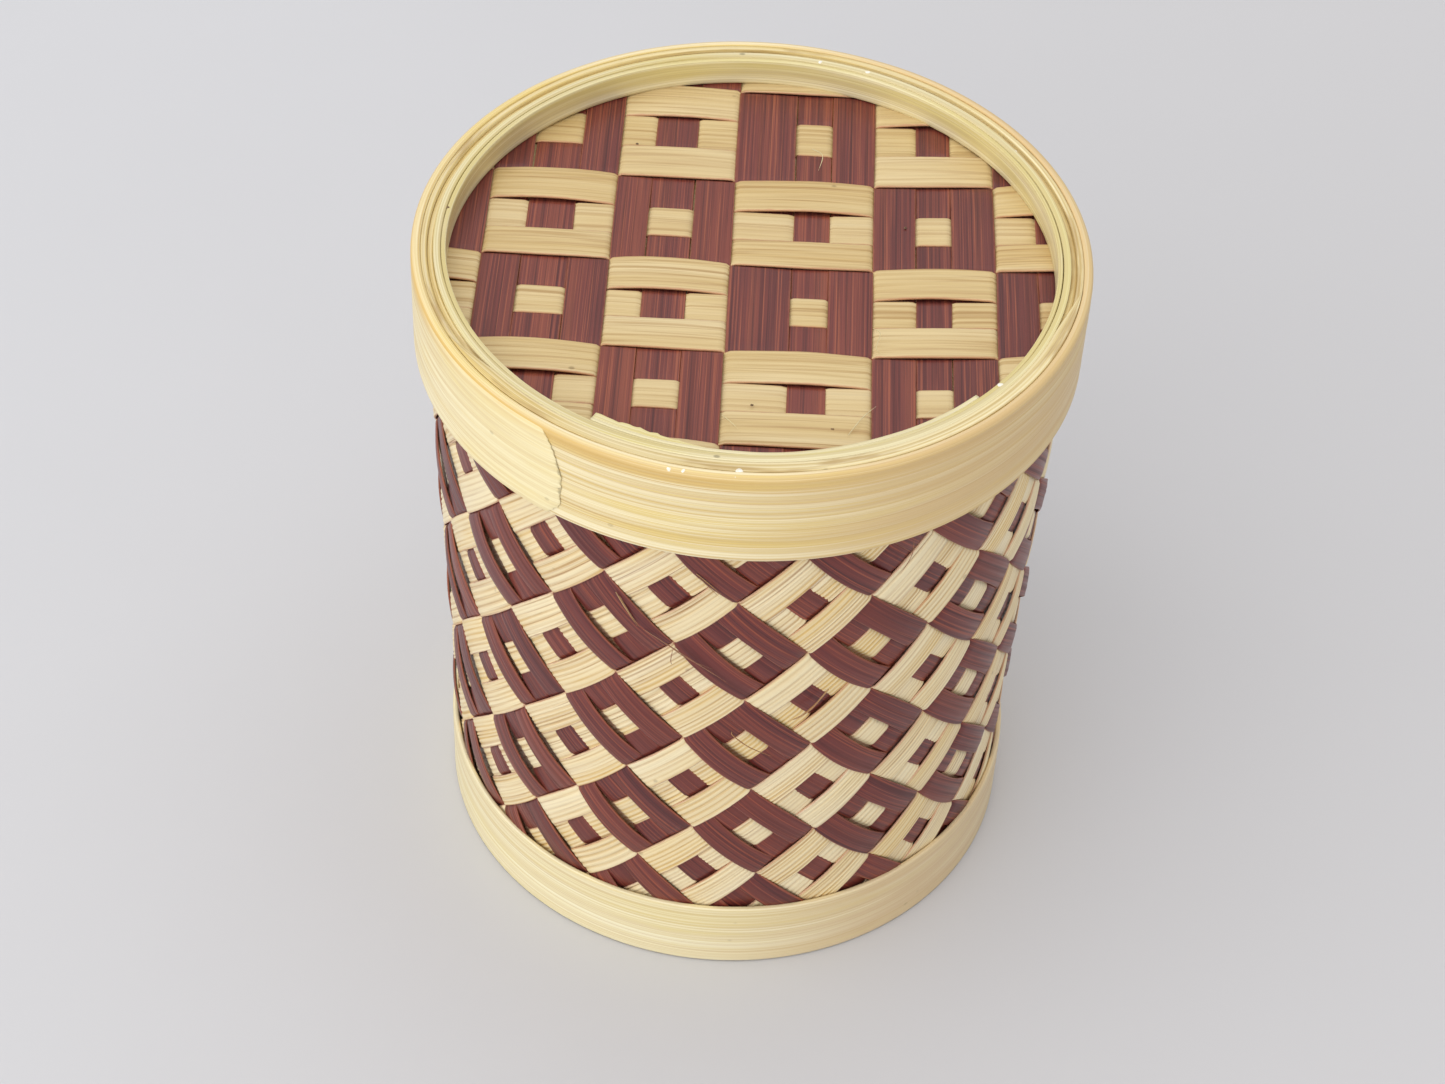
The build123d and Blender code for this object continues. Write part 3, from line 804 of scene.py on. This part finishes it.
build = Builder()
hoop(build, *LID_BAND, SKIRT_Z, TOP_Z, 11, round_out=0.95, round_in=0.3, grooves=0.05,
     top_wave=0.25, rows=40)
lap_end(build, LID_BAND, SKIRT_Z + 0.02, TOP_Z - 0.55, -119.8, -176.0, 12, thick=0.46,
        low=SKIRT_Z, like=11)
build.piece("lid_band", LID, band_mat, ["lid_outer_band"])
build = Builder()
hoop(build, 52.25, 53.38, HOOP_FOOT_Z, TOP_Z - 0.20, 13, top_wave=0.30, round_out=0.22,
     round_in=0.3, rows=10, edge_wave=0.2)
hoop(build, 51.2, 53.34, 120.0, TOP_Z - 0.06, 18, first=-150.0, last=-8.0, top_wave=0.14,
     round_out=0.18, round_in=0.2, rows=8, taper=14.0, edge_wave=0.1, grooves=0.05)
build.piece("lid_core_outer", LID, core_mat, ["lid_core_hoop_outer"])
build = Builder()
hoop(build, 51.25, 52.3, HOOP_FOOT_Z, TOP_Z - 0.65, 14, top_wave=0.45, round_out=0.3,
     round_in=0.3, rows=10, edge_wave=0.2)
build.piece("lid_core_inner", LID, core_mat, ["lid_core_hoop_inner"])
build = Builder()
hoop(build, 50.05, 51.3, 117.7, TOP_Z - 0.08, 15, top_wave=0.22, round_out=0.22, round_in=0.15,
     rows=10, edge_wave=0.12, grooves=0.04)
hoop(build, 49.2, 50.08, RIM_FOOT_Z, TOP_Z - 0.24, 16, top_wave=0.30, round_out=0.12, round_in=0.30,
     rows=14, edge_wave=0.12, grooves=0.04)
hoop(build, 48.35, 49.25, RIM_FOOT_Z, TOP_Z - 0.45, 17, first=-118.0, last=-43.0, top_wave=0.3,
     round_out=0.15, round_in=0.3, rows=12, grooves=0.04)
hoop(build, 47.35, 48.5, 118.6, TOP_Z - 0.48, 19, first=-118.0, last=-96.0, top_wave=0.2,
     round_out=0.1, round_in=0.2, rows=12, taper=13.0, blunt=True, torn=0.22)
build.piece("lid_inner_rim", LID, hoop_mat, ["lid_inner_hoop"])
build = Builder()
hoop(build, 50.74, 52.06, 112.3, 113.45, 23, round_out=0.25, round_in=0.2, rows=6,
     grooves=0.03, top_wave=0.1, edge_wave=0.0)
build.piece("neck_binding", BODY, hoop_mat)
build = Builder()
hoop(build, *FOOT_BAND, 0.0, FOOT_H, 21, round_out=0.45, round_in=0.4, grooves=0.05,
     top_wave=0.35, rows=34)
lap_end(build, FOOT_BAND, 0.4, FOOT_H - 0.6, 62.0, 12.0, 22, thick=0.48, low=0.0, like=21)
build.piece("foot_band", BODY, foot_mat, ["base_outer_band"])


# ------------------------------------------------------------------ small things
def blob(build, centre, outward_way, size, flat, seed):
    """An uneven drop or knot that sits on a surface."""
    r = np.random.default_rng(seed)
    rings, spokes = 9, 14
    a = np.linspace(0, 2 * np.pi, spokes, endpoint=False)
    shape = 1 + 0.22 * np.sin(a + r.uniform(0, 6)) + 0.16 * np.sin(2 * a + r.uniform(0, 6)) \
        + 0.08 * np.sin(3 * a + r.uniform(0, 6))
    up = Vector(outward_way).normalized()
    side = up.orthogonal().normalized()
    front = up.cross(side)
    grid = np.zeros((rings, spokes, 3))
    for n, tilt in enumerate(np.linspace(0.06, np.pi - 0.35, rings)):
        reach = size * shape * math.sin(tilt)
        tall = size * flat * math.cos(tilt)
        for m in range(spokes):
            p = Vector(centre) + side * reach[m] * math.cos(a[m])
            grid[n, m] = p + front * reach[m] * math.sin(a[m]) + up * tall
    fibre = grid * 0.3
    build.add(grid, fibre, np.zeros((1, spokes)), np.zeros((1, spokes)))


def strand(build, line, width, seed):
    """A loose fibre: a thin tube through the given places, uneven and tapered to its tips."""
    pts = np.array(line, float)
    u = np.linspace(0, len(pts) - 1, 40)
    k = np.clip(np.floor(u).astype(int), 0, len(pts) - 2)
    w = (u - k)[:, None]
    before, after = pts[np.maximum(k - 1, 0)], pts[np.minimum(k + 2, len(pts) - 1)]
    here, there = pts[k], pts[k + 1]
    mid = 0.5 * (2 * here + (there - before) * w
                 + (2 * before - 5 * here + 4 * there - after) * w ** 2
                 + (3 * here - before - 3 * there + after) * w ** 3)
    ahead = np.gradient(mid, axis=0)
    ahead /= np.linalg.norm(ahead, axis=1)[:, None] + 1e-9
    one = np.cross(ahead, [0.3, 0.2, 0.93])
    one /= np.linalg.norm(one, axis=1)[:, None]
    two = np.cross(ahead, one)
    a = np.linspace(0, 2 * np.pi, 7)[:-1]
    s = np.linspace(0, 1, len(mid))
    thick = width * (0.25 + 0.75 * np.sin(np.pi * np.clip(s * 1.1 + 0.04, 0, 1)) ** 0.5) \
        * (1 + 0.2 * smooth_noise(s * 12, seed, 1.0))
    ring = one[:, None] * np.cos(a)[None, :, None] + two[:, None] * np.sin(a)[None, :, None]
    co = mid[:, None] + ring * thick[:, None, None]
    own = np.full((1, 1), seed * 0.61)
    fibre = np.stack(np.broadcast_arrays(s[:, None] * 20, a[None, :], own), -1)
    build.add(co, fibre, np.zeros((1, 6)), np.zeros((1, 6)))


def on_rim(degrees, radius, z):
    return (radius * math.cos(math.radians(degrees)), radius * math.sin(math.radians(degrees)), z)


def on_body(degrees, z, out=1.35):
    r = BODY_R0 + (BODY_R1 - BODY_R0) * min(z / SHOULDER_Z, 1.0) + out
    return (r * math.cos(math.radians(degrees)), r * math.sin(math.radians(degrees)), z)


glue_mat, glue_nodes, glue = node_kit("dried_glue")
kit = Nodes(glue_nodes)
cloud = kit.noise(kit.scaled(kit.attribute("fibre"), (6.0, 6.0, 6.0)), 1.0, 3.0, 0.6)
kit.put(glue.inputs["Base Color"],
        kit.ramp(cloud, [(0.35, (0.88, 0.80, 0.62)), (0.65, (0.96, 0.94, 0.88))]))
glue.inputs["Roughness"].default_value = 0.12
glue.inputs["Coat Weight"].default_value = 0.6

knot_mat, knot_nodes, knot = node_kit("knot")
kit = Nodes(knot_nodes)
cloud = kit.noise(kit.scaled(kit.attribute("fibre"), (9.0, 9.0, 9.0)), 1.0, 3.0, 0.6)
kit.put(knot.inputs["Base Color"],
        kit.ramp(cloud, [(0.35, (0.07, 0.04, 0.02)), (0.7, (0.30, 0.18, 0.07))]))
knot.inputs["Roughness"].default_value = 0.6

build = Builder()
for n, (degrees, radius, z, size) in enumerate((
        (69.1, 50.75, 122.72, 0.45), (78.8, 50.5, 122.72, 0.38), (95.5, 51.0, 122.60, 0.42),
        (-90.2, 53.3, 122.74, 0.55), (-90.7, 54.5, 122.60, 0.26), (-101.2, 54.5, 122.62, 0.36),
        (-98.9, 54.5, 122.62, 0.32), (33.0, 51.1, 122.62, 0.35), (-38.0, 49.9, 122.60, 0.50))):
    slant = 0.9 if radius > 54 else 0.0
    out_x, out_y, _ = on_rim(degrees, slant, z)
    way = (out_x + 0.05, out_y, 1)
    blob(build, on_rim(degrees, radius, z), way, size, 0.42, 300 + n)
build.piece("glue_beads", LID, glue_mat)
build = Builder()
for n, (degrees, radius, z, size) in enumerate((
        (174.4, 49.9, 122.50, 0.42), (6.5, 49.65, 122.45, 0.34), (-72.0, 50.9, 122.62, 0.26),
        (100.5, 51.3, 122.42, 0.25), (-79.9, 50.2, 122.58, 0.40))):
    blob(build, on_rim(degrees, radius, z), (0.1, 0.1, 1), size, 0.45, 340 + n)
for n, (x, y) in enumerate(((1.3, -33.2), (13.8, -37.6), (-20.5, 30.4), (25.0, 12.0))):
    blob(build, (x, y, 117.78), (0, 0, 1), 0.24, 0.5, 350 + n)
build.piece("rim_knots", LID, knot_mat)

build = Builder()
for n, line in enumerate((
        ((19.8, -14.3, 118.3), (20.9, -16.1, 118.9), (20.3, -19.5, 118.8), (21.6, -20.4, 118.2)),
        ((16.2, -39.0, 118.0), (18.3, -35.4, 118.4), (20.4, -32.3, 118.1)),
        ((9.1, 31.1, 118.2), (10.9, 28.5, 118.9), (10.3, 25.2, 118.3)),
        ((-3.3, -36.1, 118.0), (-2.0, -38.0, 118.6), (-0.7, -39.2, 118.2)))):
    strand(build, line, 0.075, 400 + n)
build.piece("panel_fibres", LID, hoop_mat)
build = Builder()
for n, line in enumerate((
        (on_body(-105.3, 84.6), on_body(-101.1, 82.6, 1.6), on_body(-97.0, 80.2, 1.9),
         on_body(-92.9, 77.9)),
        (on_body(-101.1, 82.6, 1.5), on_body(-96.4, 80.4, 2.2), on_body(-90.4, 75.2, 1.5)),
        (on_body(-100.0, 81.2), on_body(-100.1, 79.6, 2.2), on_body(-100.0, 77.9, 1.6)),
        (on_body(-58.5, 102.0, 1.4), on_body(-59.4, 99.8, 2.3), on_body(-60.6, 95.6, 1.5)))):
    strand(build, line, 0.07, 420 + n)
build.piece("body_fibres_dark", BODY, fibre_mat)
build = Builder()
for n, (line, width) in enumerate((
        ((on_body(-88.9, 62.8, 1.5), on_body(-88.6, 62.3, 2.0), on_body(-85.6, 59.9, 2.4),
          on_body(-81.5, 57.2, 2.2)), 0.10),
        ((on_body(-71.9, 71.6, 1.3), on_body(-74.4, 68.4, 1.6), on_body(-76.6, 66.4, 1.7),
          on_body(-78.9, 64.8, 1.3)), 0.16),
        ((on_body(-110.5, 91.2, 1.2), on_body(-108.6, 88.7, 1.5), on_body(-106.4, 85.0, 1.4)), 0.10),
        ((on_body(-109.8, 90.6, 1.2), on_body(-108.0, 88.0, 1.5), on_body(-106.0, 84.9, 1.4)), 0.08),
        ((on_body(-96.4, 99.4, 1.2), on_body(-94.4, 98.0, 1.5), on_body(-92.1, 95.6, 1.3)), 0.08),
        ((on_body(-95.9, 98.6, 1.2), on_body(-94.2, 97.0, 1.4), on_body(-92.4, 95.0, 1.3)), 0.06))):
    strand(build, line, width, 440 + n)
build.piece("body_fibres_light", BODY, body_light_mat)


# ------------------------------------------------------------------ carried-over CAD nodes
def paint(node, material):
    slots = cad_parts[node].material_slots
    for slot in slots:
        slot.material = material


paint("body_liner", liner_mat)
for node in ("neck_outer_hoop", "neck_inner_hoop", "base_support_hoop", "base_inner_hoop",
             "lid_support_hoop"):
    paint(node, ring_mat)
for node in ("lid_lining_disc", "bottom_lining_disc"):
    paint(node, disc_mat)


# ------------------------------------------------------------------ stage, light and camera
def stage_material():
    mat, nt, shader = node_kit("stage_paper")
    n = Nodes(nt)
    place = n.new("ShaderNodeTexCoord").outputs["Object"]
    tone = n.noise(place, 9.0, 4.0, 0.6)
    paper = n.ramp(tone, [(0.3, (0.622, 0.621, 0.638)), (0.7, (0.634, 0.634, 0.652))])
    where = n.new("ShaderNodeSeparateXYZ")
    n.put(where.inputs[0], place)
    # Painted light falloff: the floor colour darkens towards +X, away from the key light.
    fall = n.span(where.outputs[0], -0.3, 0.3, 0.0, 0.75)
    n.put(shader.inputs["Base Color"], n.mix(fall, paper, (0.575, 0.562, 0.566)))
    shader.inputs["Roughness"].default_value = 0.75
    shader.inputs["Specular IOR Level"].default_value = 0.2
    return mat


me = bpy.data.meshes.new("floor")
me.from_pydata([(x, y, -0.0002) for x, y in ((-6, -6), (6, -6), (6, 6), (-6, 6))], [],
               [(0, 1, 2, 3)])
me.materials.append(stage_material())
floor = bpy.data.objects.new("floor", me)
bpy.context.scene.collection.objects.link(floor)

world = bpy.data.worlds.new("studio")
world.use_nodes = True
world.node_tree.nodes["Background"].inputs[0].default_value = (0.97, 0.98, 1.0, 1)
world.node_tree.nodes["Background"].inputs[1].default_value = 0.66
bpy.context.scene.world = world


def lamp(name, place, target, size, power, colour):
    data = bpy.data.lights.new(name, "AREA")
    data.shape = "DISK"
    data.size = size
    data.energy = power
    data.color = colour
    obj = bpy.data.objects.new(name, data)
    obj.location = place
    obj.rotation_euler = (Vector(target) - Vector(place)).to_track_quat("-Z", "Y").to_euler()
    bpy.context.scene.collection.objects.link(obj)


lamp("key", (-1.5, -1.4, 1.7), (0, 0, 0.08), 4.6, 41.0, (1.0, 0.99, 0.985))
lamp("top", (0.0, 0.5, 2.1), (0, 0, 0.08), 2.8, 14.0, (1.0, 0.995, 0.99))
lamp("front", (-1.0, -1.8, 1.0), (0, 0, 0.04), 2.6, 11.0, (1.0, 0.99, 0.985))
lamp("warm", (1.6, -0.5, 0.7), (0, 0, 0.06), 1.4, 0.5, (1.0, 0.72, 0.48))

DISTANCE, HEIGHT, FOCAL = 0.38181, 0.43741, 3060.4
yaw, pitch, roll = math.radians(-0.3626), math.radians(45.105), math.radians(2.929)
ahead = Vector((math.sin(yaw) * math.cos(pitch), math.cos(yaw) * math.cos(pitch), -math.sin(pitch)))
right = Vector((math.cos(yaw), -math.sin(yaw), 0.0))
up = right.cross(ahead)
right2 = right * math.cos(roll) + up * math.sin(roll)
up2 = up * math.cos(roll) - right * math.sin(roll)
camera = bpy.data.objects.new("camera", bpy.data.cameras.new("camera"))
camera.data.sensor_width = 36.0
camera.data.lens = FOCAL / 1445 * 36.0
camera.data.clip_start = 0.02
turn = Matrix((right2, up2, -ahead)).transposed().to_4x4()
camera.matrix_world = Matrix.Translation(Vector((0, -DISTANCE, HEIGHT))) @ turn
bpy.context.scene.collection.objects.link(camera)
bpy.context.scene.camera = camera
bpy.context.scene.view_settings.view_transform = "Standard"
